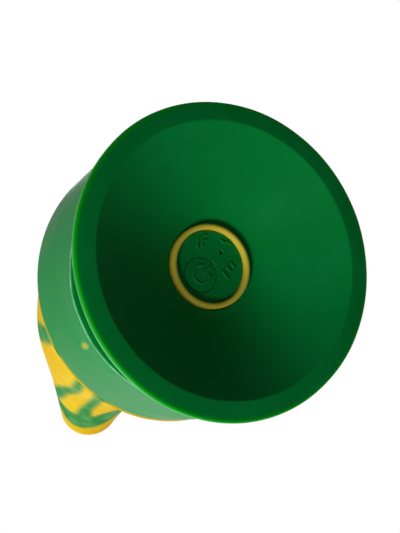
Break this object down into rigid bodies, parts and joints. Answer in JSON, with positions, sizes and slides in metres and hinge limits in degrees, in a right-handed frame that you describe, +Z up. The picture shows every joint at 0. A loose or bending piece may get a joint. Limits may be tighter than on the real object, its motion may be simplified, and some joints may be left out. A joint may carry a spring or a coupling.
{
  "type": "suction cup massager",
  "caption": "Curved, tapered silicone massager with a round tip on a drum base, standing on its own suction cup with a power button and charging port in the middle.",
  "frame": {"origin": "centre of the suction cup's rim, on the plane it seals against", "axes": "+Z up along the cup's axis from the seat, +X the way the body bends, Y across its plane of symmetry"},
  "size_m": [0.0976, 0.09, 0.1681],
  "materials": {
    "green_silicone": "soft matt silicone with a faint sheen",
    "yellow_silicone": "matt silicone, yellow marbled with green",
    "white_plastic": "moulded ABS",
    "natural_nylon": "flexible nylon tube",
    "black_plastic": "moulded nylon",
    "black_rubber": "soft rubber",
    "led_resin": "clear cast resin",
    "steel": "plated steel",
    "board_laminate": "glass-fibre laminate with solder mask",
    "cell_sleeve": "blue shrink sleeve over the cell's can",
    "red_wire": "extruded insulation",
    "black_wire": "extruded insulation",
    "bronze": "sintered bronze",
    "copper": "enamelled copper winding",
    "ferrite": "sintered ferrite",
    "dense_metal": "sintered heavy metal"
  },
  "bodies": {
    "housing": {"suction_cup": "green_silicone", "base_drum": "green_silicone", "control_disc": "green_silicone", "body_sleeve": "yellow_silicone", "ring_bezel": "yellow_silicone", "core_lower_shell": "white_plastic", "core_upper_shell": "white_plastic", "battery_plug": "white_plastic", "motor_plug": "white_plastic", "spine_anchor": "white_plastic", "motor_capsule": "white_plastic", "capsule_cap": "white_plastic", "spine_tube": "natural_nylon", "tact_switch_body": "black_plastic", "battery_holder": "black_plastic", "control_chip": "black_plastic", "charge_chip": "black_plastic", "motor_end_cap": "black_plastic", "core_seal_ring": "black_rubber", "motor_mount_rear": "black_rubber", "motor_mount_front": "black_rubber", "status_led_1": "led_resin", "status_led_2": "led_resin", "charging_socket": "steel", "core_screw_1": "steel", "core_screw_2": "steel", "core_screw_3": "steel", "core_screw_4": "steel", "board_screw_1": "steel", "board_screw_2": "steel", "board_screw_3": "steel", "battery_terminal": "steel", "motor_can": "steel", "circuit_board": "board_laminate", "battery_cell": "cell_sleeve", "battery_lead_red": "red_wire", "motor_lead_red": "red_wire", "battery_lead_black": "black_wire", "motor_lead_black": "black_wire", "motor_bush": "bronze", "motor_magnet_1": "ferrite", "motor_magnet_2": "ferrite"},
    "button": {"power_button": "green_silicone", "button_plunger": "white_plastic"},
    "switch_stem": {"tact_switch_stem": "black_plastic"},
    "rotor": {"motor_shaft": "steel", "motor_rotor": "copper", "commutator": "copper", "eccentric_weight": "dense_metal"}
  },
  "joints": [
    {"name": "button_press", "type": "slide", "parent": "housing", "child": "button", "axis": [0, 0, 1], "range_m": [0, 0.0005], "stiffness_N_per_m": 2000},
    {"name": "stem_press", "type": "slide", "parent": "housing", "child": "switch_stem", "axis": [0, 0, 1], "range_m": [0, 0.0005]},
    {"name": "motor_spin", "type": "hinge", "parent": "housing", "child": "rotor", "pos_m": [0.02038, 0, 0.12853], "axis": [0.4958, 0, 0.8684], "continuous": true}
  ],
  "couplings": [
    {"joint": "stem_press", "follows": "button_press", "ratio": 1}
  ]
}
